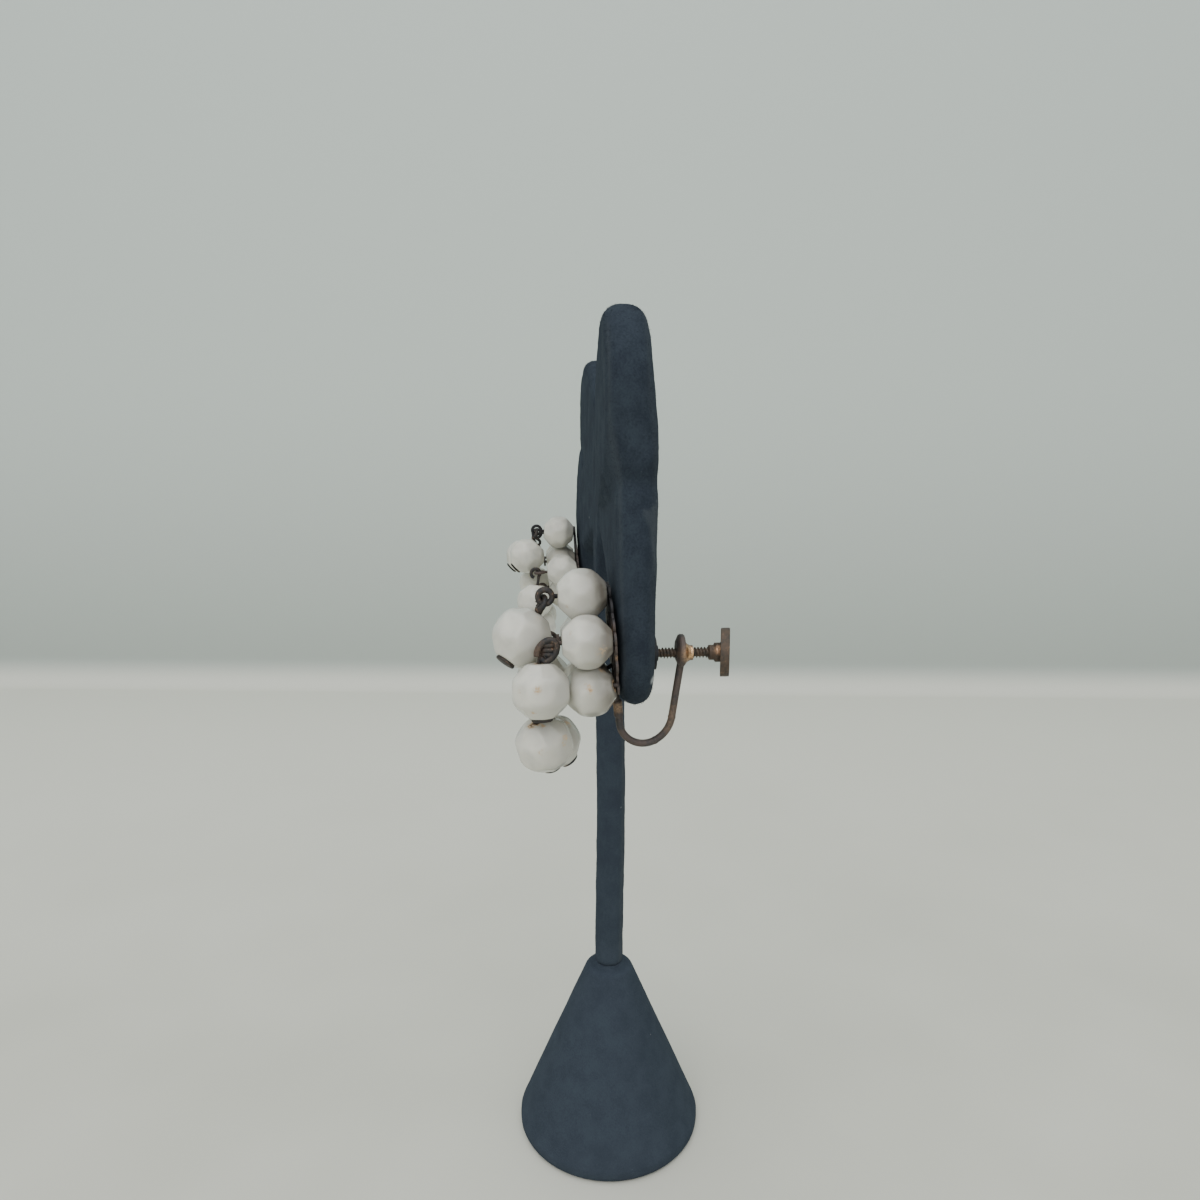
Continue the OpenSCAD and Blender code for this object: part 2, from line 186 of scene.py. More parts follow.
# The light is a dull day in a white room: a wide soft glow that is brightest overhead, and two large
# soft panels, one above the camera and one overhead.
brightest_way = (0.25, -0.12, 0.96)
glow_least = 0.72
glow_most = 1.04
sky = bpy.data.worlds.new("sky")
bpy.context.scene.world = sky
sky.use_nodes = True
sky_tree = sky.node_tree
sky_way = sky_tree.nodes.new("ShaderNodeTexCoord").outputs["Generated"]
toward_bright = add_node(sky_tree, "ShaderNodeVectorMath", {
    0: sky_way, 1: brightest_way}, operation="DOT_PRODUCT").outputs["Value"]
sky_background = sky_tree.nodes["Background"]
sky_background.inputs["Color"].default_value = (0.93, 0.97, 1.0, 1)
sky_glow = between(sky_tree, toward_bright, -0.6, 0.9, glow_least, glow_most)
sky_tree.links.new(sky_glow, sky_background.inputs["Strength"])


def soft_panel(name, place, aim, size, watts, colour):
    """A square lamp of the given size at place, turned to face aim."""
    lamp = bpy.data.lights.new(name, "AREA")
    lamp.size = size
    lamp.energy = watts
    lamp.color = colour
    panel = bpy.data.objects.new(name, lamp)
    back = np.array(place) - np.array(aim)
    back = back / np.linalg.norm(back)
    side = np.cross([0, 0, 1], back)
    side = side / np.linalg.norm(side)
    over = np.cross(back, side)
    panel.matrix_world = Matrix([[side[i], over[i], back[i], place[i]] for i in range(3)] + [[0, 0, 0, 1]])
    bpy.context.scene.collection.objects.link(panel)


soft_panel("window", (0.50, -0.16, 0.50), (0, 0, 0.08), 0.5, 1.7, (1.0, 0.98, 0.95))
soft_panel("ceiling", (0.05, 0.0, 0.85), (0, 0, 0.05), 0.8, 2.6, (0.97, 0.98, 1.0))


# The stand is covered in dark slate blue velvet. The pile is short, lies unevenly and holds some lint,
# and it is painted paler along its crests, its fold and its middle crease, as painted sheen. It is a little
# lighter on the lower stem and the foot.
def reckon(tree, operation, first, second):
    """One sum on two values."""
    return add_node(tree, "ShaderNodeMath", {0: first, 1: second}, operation=operation).outputs[0]


def two_noises(tree, first, second, share):
    """The first noise and the given share of the second, added to go from 0 to 1."""
    return reckon(tree, "ADD", reckon(tree, "MULTIPLY", first, 1 - share),
                  reckon(tree, "MULTIPLY", second, share))


def gap_to(tree, place, spot):
    """How far the place is from a spot, in metres."""
    return add_node(tree, "ShaderNodeVectorMath", {
        0: place, 1: tuple(spot)}, operation="DISTANCE").outputs["Value"]


velvet_dark = (0.022, 0.028, 0.038)
velvet_light = (0.034, 0.044, 0.056)
velvet_sheen = (0.060, 0.070, 0.078)
velvet_low_tone = (0.070, 0.088, 0.112)
lint_colour = (0.32, 0.34, 0.34)
low_tone_share = 0.25
# Specks of lint: place, size in millimetres and brightness
specks = (
    ((43, 0.67, 138.4), 0.18, 0.9), ((43, -3.2, 137.6), 0.15, 0.7), ((43, 0.43, 133.0), 0.14, 0.6),
    ((43, -1.23, 118.9), 0.16, 0.8), ((43, 2.46, 119.0), 0.18, 1.0), ((43, 2.23, 97.0), 0.40, 1.0),
)
velvet, tree, shader, place = new_material("slate blue velvet")
nap = clouds(tree, place, 4 * mm, 4.0, 0.6)
grain = clouds(tree, place, 0.25 * mm, 2.0, 0.7)
lay = two_noises(tree, nap, grain, 0.4)
pile_colour = blended(tree, between(tree, lay, 0.35, 0.65), velvet_dark, velvet_light)
height = add_node(tree, "ShaderNodeSeparateXYZ", {"Vector": place}).outputs["Z"]
# The velvet is made a little lighter below 98 mm, on the lower stem and the foot.
low_tone = between(tree, height, 98 * mm, 75 * mm, 0.0, low_tone_share)
pile_colour = blended(tree, low_tone, pile_colour, velvet_low_tone)
# The crests, the fold and the middle crease are painted paler: painted sheen and highlight.
painted_sheen = add_node(tree, "ShaderNodeAttribute", attribute_name="painted_sheen").outputs["Fac"]
pile_colour = blended(tree, painted_sheen, pile_colour, velvet_sheen)
lint = between(tree, clouds(tree, place, 1.3 * mm, 1.0, 0.4), 0.795, 0.83, 0.0, 0.5)
for spot, size, bright in specks:
    gap = gap_to(tree, place, np.array(spot) * mm)
    lint = reckon(tree, "MAXIMUM", lint, between(tree, gap, 2.2 * size * mm, 0.8 * size * mm, 0.0, bright))
tree.links.new(blended(tree, lint, pile_colour, lint_colour), shader.inputs["Base Color"])
shader.inputs["Roughness"].default_value = 0.95
shader.inputs["Specular IOR Level"].default_value = 0.03
shader.inputs["Sheen Weight"].default_value = 0.02
shader.inputs["Sheen Roughness"].default_value = 0.45
shader.inputs["Sheen Tint"].default_value = (0.55, 0.70, 0.85, 1)
roughen(tree, shader, grain, 0.6, 0.12 * mm)


# The foot is a weighted cone, turned and covered in velvet that is glued under its rim. Its side is
# straight up to a small round shoulder, and the stem goes in at its top.
def waves(points, size, seed):
    """Soft bumps from -1 to 1: the mean of six sine waves that run in mixed directions."""
    draw = np.random.default_rng(seed)
    ways = draw.normal(size=(6, 3))
    ways *= (2 * math.pi / size) / np.linalg.norm(ways, axis=1)[:, None] * draw.uniform(0.7, 1.5, (6, 1))
    return np.sin(points @ ways.T + draw.uniform(0, 2 * math.pi, 6)).mean(axis=-1)


def lathe_grid(radius, height, sides):
    """A profile of radius and height, turned about Z: rows follow the profile, columns go round."""
    turn = np.arange(sides) * 2 * math.pi / sides
    return np.stack(np.broadcast_arrays(
        radius[:, None] * np.cos(turn), radius[:, None] * np.sin(turn), height[:, None]), axis=2)


def closed_grid(name, rows, start=None, end=None):
    """A grid whose columns close round. A fan to the start and to the end point closes its first and
    its last row, or, without them, the last row joins the first."""
    count, sides = rows.shape[:2]
    points = rows.reshape(-1, 3)
    index = np.arange(count * sides).reshape(count, sides)
    across = np.roll(index, -1, axis=1)
    last = None if start is None else -1
    up = np.roll(index, -1, axis=0)[:last]
    up_across = np.roll(across, -1, axis=0)[:last]
    quads = np.stack([index[:last], across[:last], up_across, up], axis=2).reshape(-1, 4)
    tris = None
    if start is not None:
        points = np.vstack([points, start, end])
        first = np.full(sides, count * sides)
        tris = np.vstack([
            np.stack([first, across[0], index[0]], axis=1),
            np.stack([first + 1, index[-1], across[-1]], axis=1),
        ])
    return put_mesh(name, points, quads, tris)


def place_on(piece, body, material):
    """Gives a piece its material and its body."""
    piece.data.materials.append(material)
    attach(piece, body)


_, foot_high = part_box("stand_foot")
foot_r = foot_high.x
foot_top = foot_high.z
# Where the side's slope would come to a point, and where the rim and the shoulder round off
apex_z = 40.9 * mm
rim_z = 1.8 * mm
rim_round = 0.9 * mm
shoulder_z = 30.6 * mm
shoulder_round = 1.5 * mm
neck_r = 2.65 * mm
broad_dents = 0.10 * mm
fine_dents = 0.025 * mm
slope = foot_r / (apex_z - rim_z)
tilt = math.atan(slope)
shoulder_r = slope * (apex_z - shoulder_z) - shoulder_round * math.cos(tilt)
low = np.radians(np.linspace(-90, 0, 9))
side_z = np.linspace(rim_z, shoulder_z - 0.3 * mm, 72)
over = np.linspace(tilt, math.radians(88), 12)
profile_r = np.r_[
    np.linspace(0.4, 0.9, 6) * (foot_r - rim_round), foot_r - rim_round + rim_round * np.cos(low),
    slope * (apex_z - side_z), shoulder_r + shoulder_round * np.cos(over), neck_r, neck_r, neck_r * 0.6,
]
profile_z = np.r_[
    np.zeros(6), rim_round + rim_round * np.sin(low), side_z,
    shoulder_z + shoulder_round * (np.sin(over) - math.sin(tilt)), foot_top - 0.5 * mm, foot_top, foot_top,
]
rows = lathe_grid(profile_r, profile_z, 160)
sideways = rows * np.array([1, 1, 0])
sideways /= np.linalg.norm(sideways, axis=2)[:, :, None]
# The cover is uneven, but not within 2 mm of the table or of the top
lift = np.clip(rows[:, :, 2:] / (2 * mm), 0, 1) * np.clip((foot_top - rows[:, :, 2:]) / (2 * mm), 0, 1)
uneven = broad_dents * waves(rows, 9 * mm, 3)[:, :, None] + fine_dents * waves(rows, 0.9 * mm, 4)[:, :, None]
foot = closed_grid("velvet_foot", rows + sideways * lift * uneven, (0, 0, 0), (0, 0, foot_top))
place_on(foot, "stand", velvet)
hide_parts("stand_foot")

# The head and its stem are one flat board with soft round edges under the same velvet. The skin is
# the board's own solid, drawn over with an even net, smoothed, and then bowed, dented and brushed.
net = 0.5 * mm
board_mesh = bmesh.new()
board_mesh.from_mesh(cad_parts["stand_head"].data)
bmesh.ops.remove_doubles(board_mesh, verts=board_mesh.verts, dist=0.002 * mm)
draft = bpy.data.meshes.new("board draft")
board_mesh.to_mesh(draft)
board_mesh.free()
board = bpy.data.objects.new("board_draft", draft)
bpy.context.scene.collection.objects.link(board)
remesh = board.modifiers.new("net", "REMESH")
remesh.mode = "VOXEL"
remesh.voxel_size = net
shaped = bpy.data.meshes.new_from_object(board.evaluated_get(bpy.context.evaluated_depsgraph_get()))
bpy.data.objects.remove(board)
head = bpy.data.objects.new("velvet_head", shaped)
bpy.context.scene.collection.objects.link(head)


def read_rows(items, name, kind, width):
    """One property of all the vertices or edges, as an array with a row for each."""
    values = np.empty(len(items) * width, kind)
    items.foreach_get(name, values)
    return values.reshape(-1, width)


def smoothed(points, edges, passes, push):
    """Each pass moves every point towards the mean of its neighbours and then a little way back,
    which rounds creases and keeps the size."""
    degree = np.bincount(edges.ravel(), minlength=len(points))[:, None]
    for share in [push, -1.03 * push] * passes:
        total = np.stack([
            np.bincount(edges[:, 0], points[edges[:, 1], axis], len(points))
            + np.bincount(edges[:, 1], points[edges[:, 0], axis], len(points))
            for axis in range(3)
        ], axis=1)
        points = points + share * (total / degree - points)
    return points


def write_share(piece, name, values):
    """Stores one value from 0 to 1 at each vertex, for the material to read."""
    layer = piece.data.attributes.new(name, "FLOAT", "POINT")
    layer.data.foreach_set("value", np.asarray(values, np.float32))


def bell(value, middle, width):
    """One at the middle, falling off to both sides as a bell curve of the given width."""
    return np.exp(-((value - middle) / width) ** 2)


edges = read_rows(shaped.edges, "vertices", int, 2)
skin = smoothed(read_rows(shaped.vertices, "co", float, 3), edges, 14, 0.6)
shaped.vertices.foreach_set("co", skin.ravel())
shaped.update()
outward = read_rows(shaped.vertices, "normal", float, 3)
x, y, z = (skin / mm).T
# The stem bows back by up to 0.35 mm
bow = 0.35 * bell(z, 62, 18)
dent = 0.09 * waves(skin, 8 * mm, 11) + 0.05 * waves(skin, 2.2 * mm, 12)
fuzz = 0.035 * waves(skin, 0.8 * mm, 13)
# The crests where the front's and the back's velvet turn into the edge's, raised a little and painted paler
# as sheen
crest = bell(outward[:, 1], -0.84, 0.10) * np.clip((x - 38) / 2, 0, 1) * (z > 94)
back_crest = bell(outward[:, 1], 0.80, 0.18) * (outward[:, 0] > 0.2)
# The fold on the edge above the right lobe, a long triangle of pile that lies the other way, raised a little
# and painted paler as sheen
fold_edge = np.interp(z, [108.2, 111.9, 115.5, 117.6, 119.0], [2.05, 1.65, 1.25, 0.27, 2.5])
fold = (x > 36) * np.clip((y - fold_edge) / 0.2, 0, 1) * (z > 107.5) * (z < 119.05)
fold = fold * np.clip((outward[:, 0] - 0.15) / 0.35, 0, 1)
# A crease down the middle, where the wings are folded against each other, pressed in and painted paler as a
# highlight
middle = bell(x, 0, 0.35) * (z > 110)
skin = skin + outward * (dent + fuzz + 0.06 * crest + 0.08 * fold - 0.15 * middle)[:, None] * mm
skin[:, 1] += bow * mm
near_foot = skin[:, 2] < foot_top + 0.3 * mm
skin[near_foot, 2] = np.maximum(skin[near_foot, 2], foot_top)
shaped.vertices.foreach_set("co", skin.ravel())
shaped.polygons.foreach_set("use_smooth", np.ones(len(shaped.polygons), bool))
shaped.update()
# How strongly the crests, the fold and the crease are painted paler, as painted sheen and highlight
back_sheen = 0.3 + 0.3 * (z < 96)
write_share(head, "painted_sheen", np.clip(
    0.4 * crest + back_sheen * back_crest + 0.45 * fold + 0.25 * middle, 0, 1))
place_on(head, "stand", velvet)
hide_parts("stand_head")

# The pile itself stands up as a fringe along the board's rim, where it shows against the light:
# thousands of thin three-sided spikes that lean down and out.
pile_count = 26000
pile_length = 0.22 * mm
pile_width = 0.05 * mm
lean_down = 0.35
draw = np.random.default_rng(21)
near_rim = np.flatnonzero((np.abs(outward[:, 1]) < 0.97) & (skin[:, 2] > 36 * mm))
roots = near_rim[draw.integers(0, len(near_rim), pile_count)]
grow = outward[roots] + draw.normal(0, 0.35, (pile_count, 3)) + np.array([0, 0, -lean_down])
grow /= np.linalg.norm(grow, axis=1)[:, None]
slide = draw.normal(0, 0.25 * mm, (pile_count, 3))
slide -= outward[roots] * (slide * outward[roots]).sum(1)[:, None]
base = skin[roots] + slide - 0.05 * mm * outward[roots]
side = np.cross(grow, draw.normal(size=(pile_count, 3)))
side /= np.linalg.norm(side, axis=1)[:, None]
other = np.cross(grow, side)
turns = np.arange(3) * 2 * math.pi / 3
feet = base[:, None] + pile_width / 2 * (
    side[:, None] * np.cos(turns)[:, None] + other[:, None] * np.sin(turns)[:, None])
tips = base + grow * pile_length * draw.uniform(0.5, 1.15, (pile_count, 1))
spike_points = np.concatenate([feet, tips[:, None]], axis=1)
corner = np.arange(pile_count)[:, None] * 4
spike_faces = np.concatenate([
    corner + np.array(face) for face in ((0, 1, 3), (1, 2, 3), (2, 0, 3), (2, 1, 0))], axis=0)
pile = put_mesh("velvet_pile", spike_points, None, spike_faces)
place_on(pile, "stand", velvet)

# The beads are pressed and fire polished milk glass, rust stained at their holes. Soft edged facets
# lie round the belly and round each shoulder, and each end is flat. On each earring seven beads are
# wired to the plate and six hang in front of them.
side_name = ("right", "left")
# Middle bead's x, y and z and the lean of the cluster's top, in millimetres and degrees
cluster = ((38.0, -6.1, 101.25, 4.5), (-38.0, -7.4, 101.3, 4.5))
# The wired beads: place on the ring, distance out, how far their wire points down and to the
# side, how far its loop is turned
ring = (
    ((9, 6.5, -3, -1, 90), (69, 6.5, -3, 0, 0), (129, 6.5, 0, 0, 0),
     (189, 6.5, 2, -2, 0), (249, 6.5, 27, 0, 90), (309, 7.1, 10, -15, 0)),
    ((-10, 7.0, 0, 0, 90), (65, 7.0, -10, 0, 0), (125, 7.0, 0, 0, 0),
     (180, 7.0, 1, -2, 0), (235, 7.0, 6, 6, 0), (292, 7.0, 6, 1, 0)),
)
# The hanging beads: x, y and z from the loop that holds each, diameter, lean of the pin's head
# end forward and to the side, turn of the pin's loop
hanging = (
    ((1.0, -1.0, -5.55, 6.95, -2, 8, 0), (0.0, -2.85, -5.2, 7.3, 35, 25, 68),
     (-0.7, -3.4, -4.75, 6.5, 45, -10, 90), (-1.3, -0.85, -5.6, 7.0, 5, -8, 90),
     (0.0, -0.6, -5.9, 6.9, -35, -10, 0), (1.15, -1.5, -5.65, 7.0, -15, -15, 90)),
    ((0.7, -1.1, -5.8, 7.0, 10, 5, 0), (0.15, -2.0, -5.4, 7.0, 45, 0, 75),
     (0.0, -3.1, -4.9, 7.0, 45, -5, 90), (-1.0, -0.9, -5.6, 7.0, 5, -8, 90),
     (-0.1, -0.55, -5.9, 7.0, -5, 0, 90), (0.8, -0.8, -5.85, 7.0, -10, 5, 90)),
)
# How far each bead is turned on its wire, in degrees, for the wired and for the hanging beads
plate_rolls = (12, 10, 34, 51, 68, 38)
drop_rolls = (5, 28, 46, 69, 92, 12)
# How much painted shade each earring's wired beads get on their side towards the plate, and the share of
# that on its hanging beads
shade_by_earring = (0.92, 0.0)
drop_shade_share = 0.4
plate_bead_r = 3.2 * mm
hole_r = 0.38 * mm
eye_reach = 4.6 * mm
# Shares of a bead's radius at which its facets, its flat ends and its roundness stop it
facet_share = 0.985
end_share = 0.945
ball_share = 1.04
edge_sharpness = 90


def unit(v):
    """The vector, made one long."""
    return np.asarray(v, float) / np.linalg.norm(v)


def out_way(down, sideways):
    """The direction that points out of the plate, turned down and sideways by degrees."""
    a, b = math.radians(down), math.radians(sideways)
    return np.array([math.sin(b) * math.cos(a), -math.cos(b) * math.cos(a), -math.sin(a)])


def wired(earring, number):
    """The middle of a wired bead, its wire's direction and the middle of its loop."""
    x, y, z, lean = cluster[earring]
    place, reach, down, sideways, _ = ring[earring][number]
    a, t = math.radians(place), math.radians(lean)
    centre = np.array([x, y, z]) + reach * np.array(
        [math.cos(a), -math.sin(a) * math.sin(t), math.sin(a) * math.cos(t)])
    way = out_way(lean + down, sideways)
    return centre * mm, way, centre * mm + eye_reach * way


def hung(earring, number):
    """The middle of a hanging bead, its radius and the direction from its loop end to its head."""
    dx, dy, dz, across, forward_lean, side_lean, _ = hanging[earring][number]
    a, b = math.radians(forward_lean), math.radians(side_lean)
    way = np.array([math.sin(b) * math.cos(a), -math.sin(a), -math.cos(b) * math.cos(a)])
    return wired(earring, number)[2] + np.array([dx, dy, dz]) * mm, across / 2 * mm, way


def turned_to(way):
    """The matrix that turns what stands on +Z to stand along way, by the shortest turn."""
    axle = unit(np.cross([0, 0, 1], way)) if abs(way[2]) < 0.999999 else np.array([1.0, 0, 0])
    cross = np.array([[0, -axle[2], axle[1]], [axle[2], 0, -axle[0]], [-axle[1], axle[0], 0]])
    angle = math.acos(np.clip(way[2], -1, 1))
    return np.eye(3) + math.sin(angle) * cross + (1 - math.cos(angle)) * cross @ cross


def bead_surface(r, seed, sides=72):
    """Rows run from one hole's rim over the outside to the other and back through the hole. In each
    direction the radius is the p-norm of the facet planes' distances, so the edges are rounded.
    The second result is how near each point is to a hole, from 0 to 1."""
    draw = np.random.default_rng(seed)
    belly = np.radians(22.5 + 45 * np.arange(8))
    shoulder = np.radians(45 * np.arange(8))
    half = math.sqrt(0.5)
    planes = np.concatenate([
        np.stack([np.cos(belly), np.sin(belly), 0 * belly], axis=1),
        np.stack([half * np.cos(shoulder), half * np.sin(shoulder), half + 0 * shoulder], axis=1),
        np.stack([half * np.cos(shoulder), half * np.sin(shoulder), -half + 0 * shoulder], axis=1),
    ])
    away = facet_share * r * draw.uniform(0.985, 1.006, len(planes))
    rim = math.asin(hole_r / (end_share * r))
    polar = np.linspace(rim, math.pi - rim, 46)[:, None]
    turn = (np.arange(sides) * 2 * math.pi / sides)[None, :]
    ways = np.stack(np.broadcast_arrays(
        np.sin(polar) * np.cos(turn), np.sin(polar) * np.sin(turn), np.cos(polar)), axis=2)
    pull = (np.clip(ways @ planes.T / away, 0, None) ** edge_sharpness).sum(axis=2)
    pull += (np.abs(ways[:, :, 2]) / (end_share * r)) ** edge_sharpness
    pull += (1 / (ball_share * r)) ** edge_sharpness
    outer = ways * (pull ** (-1 / edge_sharpness))[:, :, None]
    outer[0] = outer[0] * [1, 1, 0] + outer[0][:, 2].mean() * np.array([0, 0, 1])
    deep = np.linspace(outer[-1, 0, 2], outer[0, 0, 2], 7)[1:-1]
    bore = lathe_grid(np.full(len(deep), hole_r), deep, sides)
    near_hole = np.clip(1 - (np.minimum(polar, math.pi - polar) - rim) / 0.42, 0, 1)
    return np.concatenate([outer, bore]), np.r_[np.repeat(near_hole, sides), np.ones(len(deep) * sides)]


glass_white = (0.66, 0.645, 0.565)
glass_grey = (0.56, 0.55, 0.49)
glass_shade = (0.135, 0.115, 0.092)
rust_pale = (0.52, 0.36, 0.20)
rust_dark = (0.11, 0.065, 0.035)
# Rust marks by bead, two of them painted shade: the bead (p for a wired bead, d for a hanging one, and its
# number), the mark's place across and up from the bead's middle as the camera sees it, in radii, its size
# in millimetres, its strength
marks = (
    ("d6", -0.42, 0.66, 1.10, 0.95), ("d6", -0.22, 0.72, 0.90, 0.9), ("d6", -0.05, 0.60, 0.65, 0.6),
    ("d6", -0.12, -0.27, 0.62, 0.55), ("d6", 0.72, 0.18, 0.75, 0.6), ("d6", 0.66, -0.05, 0.60, 0.5),
    ("d1", -0.10, 0.02, 0.80, 0.65), ("d1", -0.02, 0.30, 0.45, 0.35), ("d1", -0.28, -0.75, 0.60, 0.6),
    ("d1", -0.72, 0.00, 0.55, 0.3), ("p6", -0.02, 0.02, 0.70, 0.75), ("p6", -0.10, 0.18, 0.65, 0.4),
    ("p6", 0.45, 0.75, 0.9, 0.5), ("d5", 0.50, 0.62, 0.85, 0.65), ("d5", 0.45, 0.40, 0.5, 0.5),
    ("d2", 0.55, 0.62, 0.9, 0.25), ("d2", 0.80, 0.30, 0.9, 0.12), ("d2", 0.1, 0.95, 0.9, 0.2),
    # The p2 mark at 0.60, -0.62 and the p1 mark at 0.55, -0.35 darken the beads' sides towards the plate:
    # painted shade, not rust.
    ("p2", -0.55, -0.45, 0.55, 0.35), ("p2", 0.60, -0.62, 1.2, 0.2), ("p1", 0.55, -0.35, 1.2, 0.4),
    ("p1", -0.62, 0.30, 0.6, 0.35),
)


def mark_place(name, across, up):
    """The mark's place on its bead: across and up in the camera's view, and out towards it."""
    number = int(name[1]) - 1
    centre, r = (wired(0, number)[0], plate_bead_r) if name[0] == "p" else hung(0, number)[:2]
    toward = unit(eye_place - centre)
    right = unit(np.cross([0, 0, 1], toward))
    over = np.cross(toward, right)
    out = math.sqrt(max(0, 1 - across**2 - up**2))
    return centre + 0.97 * r * (across * right + up * over + out * toward)


milk_glass, tree, shader, place = new_material("milk glass")
cloud = clouds(tree, place, 3.5 * mm, 3.0)
fine = clouds(tree, place, 0.35 * mm, 4.0, 0.7)
glass_colour = blended(tree, between(tree, cloud, 0.35, 0.65), glass_grey, glass_white)
# Each bead's side towards the plate is darkened to brown grey: painted shade where the velvet and the plate
# keep light off.
plate_shade_share = add_node(tree, "ShaderNodeAttribute", attribute_name="plate_shade").outputs["Fac"]
plate_shade_share = reckon(tree, "MULTIPLY", plate_shade_share, between(tree, cloud, 0.25, 0.6, 0.6, 1.0))
glass_colour = blended(tree, plate_shade_share, glass_colour, glass_shade)
hole_share = add_node(tree, "ShaderNodeAttribute", attribute_name="hole").outputs["Fac"]
stain = between(tree, reckon(tree, "ADD", hole_share, reckon(tree, "MULTIPLY", fine, 0.7)), 0.95, 1.35)
# The marks' outlines wander by up to 0.4 mm
wander = add_node(tree, "ShaderNodeTexNoise", {"Vector": place, "Scale": 1 / (0.5 * mm), "Detail": 3.0})
wander = add_node(tree, "ShaderNodeVectorMath", {
    0: wander.outputs["Color"], 1: (-0.5, -0.5, -0.5)}, operation="ADD").outputs[0]
wander = add_node(tree, "ShaderNodeVectorMath", {0: wander, "Scale": 0.8 * mm}, operation="SCALE").outputs[0]
strayed = add_node(tree, "ShaderNodeVectorMath", {0: place, 1: wander}, operation="ADD").outputs[0]
for name, across, up, size, strength in marks:
    gap = gap_to(tree, strayed, mark_place(name, across, up))
    spot = between(tree, gap, size * mm, 0.15 * size * mm, 0.0, strength)
    spot = reckon(tree, "MULTIPLY", spot, between(tree, fine, 0.38, 0.62, 0.15, 1.0))
    stain = reckon(tree, "MAXIMUM", stain, spot)
glass_colour = blended(tree, between(tree, stain, 0.02, 0.55), glass_colour, rust_pale)
glass_colour = blended(tree, between(tree, stain, 0.50, 0.95), glass_colour, rust_dark)
tree.links.new(glass_colour, shader.inputs["Base Color"])
tree.links.new(between(tree, stain, 0.1, 0.9, 0.16, 0.6), shader.inputs["Roughness"])
shader.inputs["IOR"].default_value = 1.5
shader.inputs["Subsurface Weight"].default_value = 0.35
shader.inputs["Subsurface Radius"].default_value = (1.0, 0.9, 0.75)
shader.inputs["Subsurface Scale"].default_value = 0.8 * mm
roughen(tree, shader, clouds(tree, place, 0.6 * mm, 5.0, 0.6), 0.08, 0.05 * mm)


def add_bead(name, centre, way, r, roll, seed, plate_way, shade_strength):
    """A bead on its wire's way, with painted shade on the side that faces the plate."""
    rows, near_hole = bead_surface(r, seed)
    c, s = math.cos(math.radians(roll)), math.sin(math.radians(roll))
    spin = np.array([[c, -s, 0], [s, c, 0], [0, 0, 1]])
    rows = rows @ (turned_to(way) @ spin).T
    bead = closed_grid("glass_" + name, rows + centre)
    write_share(bead, "hole", near_hole)
    write_share(bead, "plate_shade", shade_strength * np.clip(0.9 * (rows.reshape(-1, 3) @ plate_way / r) + 0.36, 0, 1))
    place_on(bead, "stand", milk_glass)
    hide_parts(name)


for earring, side in enumerate(side_name):
    to_plate = -out_way(cluster[earring][3], 0)
    shade_strength = shade_by_earring[earring]
    add_bead(side + "_bead_middle", np.array(cluster[earring][:3]) * mm, -to_plate, plate_bead_r, 0,
             40 + earring, to_plate, shade_strength)
    for number in range(6):
        centre, way, _ = wired(earring, number)
        add_bead(f"{side}_bead_{number + 1}", centre, way, plate_bead_r, plate_rolls[number],
                 50 + 10 * earring + number, to_plate, shade_strength)
        centre, r, way = hung(earring, number)
        add_bead(f"{side}_drop_bead_{number + 1}", centre, way, r, drop_rolls[number],
                 80 + 10 * earring + number, to_plate, drop_shade_share * shade_strength)


# Each hanging bead is strung on a head pin: a brass wire with a flat head below the bead, bent over
# above it into a loop that hangs in the loop of a wired bead. The brass has gone nearly black.
def aged_metal(name, dark, middle, bright, rubbed_from, rubbed_to, patch=1.5 * mm, wear_and_highlight_spots=(),
               dark_above=1.0):
    """Metal from dark to bright by blots of the given size, bright near each named spot as worn metal with a
    painted highlight, and painted black as shade above the given height. It shines more where it is bright."""
    material, tree, shader, place = new_material(name)
    blot = clouds(tree, place, patch, 4.0, 0.6)
    fine = clouds(tree, place, 0.22 * mm, 3.0, 0.6)
    shade = two_noises(tree, blot, fine, 0.3)
    metal_colour = blended(tree, between(tree, shade, 0.38, 0.56), dark, middle)
    rub = between(tree, shade, rubbed_from, rubbed_to)
    # Near each listed spot the metal is painted bright: worn metal with a painted highlight on it.
    for spot, size, strength in wear_and_highlight_spots:
        gap = gap_to(tree, place, np.array(spot) * mm)
        glow = between(tree, gap, size * mm, 0.3 * size * mm, 0.0, strength)
        glow = reckon(tree, "MULTIPLY", glow, between(tree, fine, 0.35, 0.6, 0.3, 1.0))
        rub = reckon(tree, "MAXIMUM", rub, glow)
    metal_colour = blended(tree, rub, metal_colour, bright)
    height = add_node(tree, "ShaderNodeSeparateXYZ", {"Vector": place}).outputs["Z"]
    # Above the given height the metal is painted nearly black: painted shade.
    painted_dark = between(tree, height, dark_above, dark_above + 2 * mm, 0.0, 0.85)
    tree.links.new(blended(tree, painted_dark, metal_colour, (0.012, 0.014, 0.018)), shader.inputs["Base Color"])
    tree.links.new(between(tree, rub, 0.0, 1.0, 0.62, 0.28), shader.inputs["Roughness"])
    tree.links.new(between(tree, rub, 0.0, 1.0, 0.45, 1.0), shader.inputs["Metallic"])
    roughen(tree, shader, shade, 0.5, 0.08 * mm)
    return material


dark_brass = aged_metal(
    "dark brass", (0.021, 0.023, 0.026), (0.050, 0.041, 0.035), (0.24, 0.15, 0.10), 0.56, 0.68,
    patch=1.0 * mm, wear_and_highlight_spots=(((45, -12.4, 101.6), 1.5, 0.45),))
wire_loop_r = 0.9 * mm
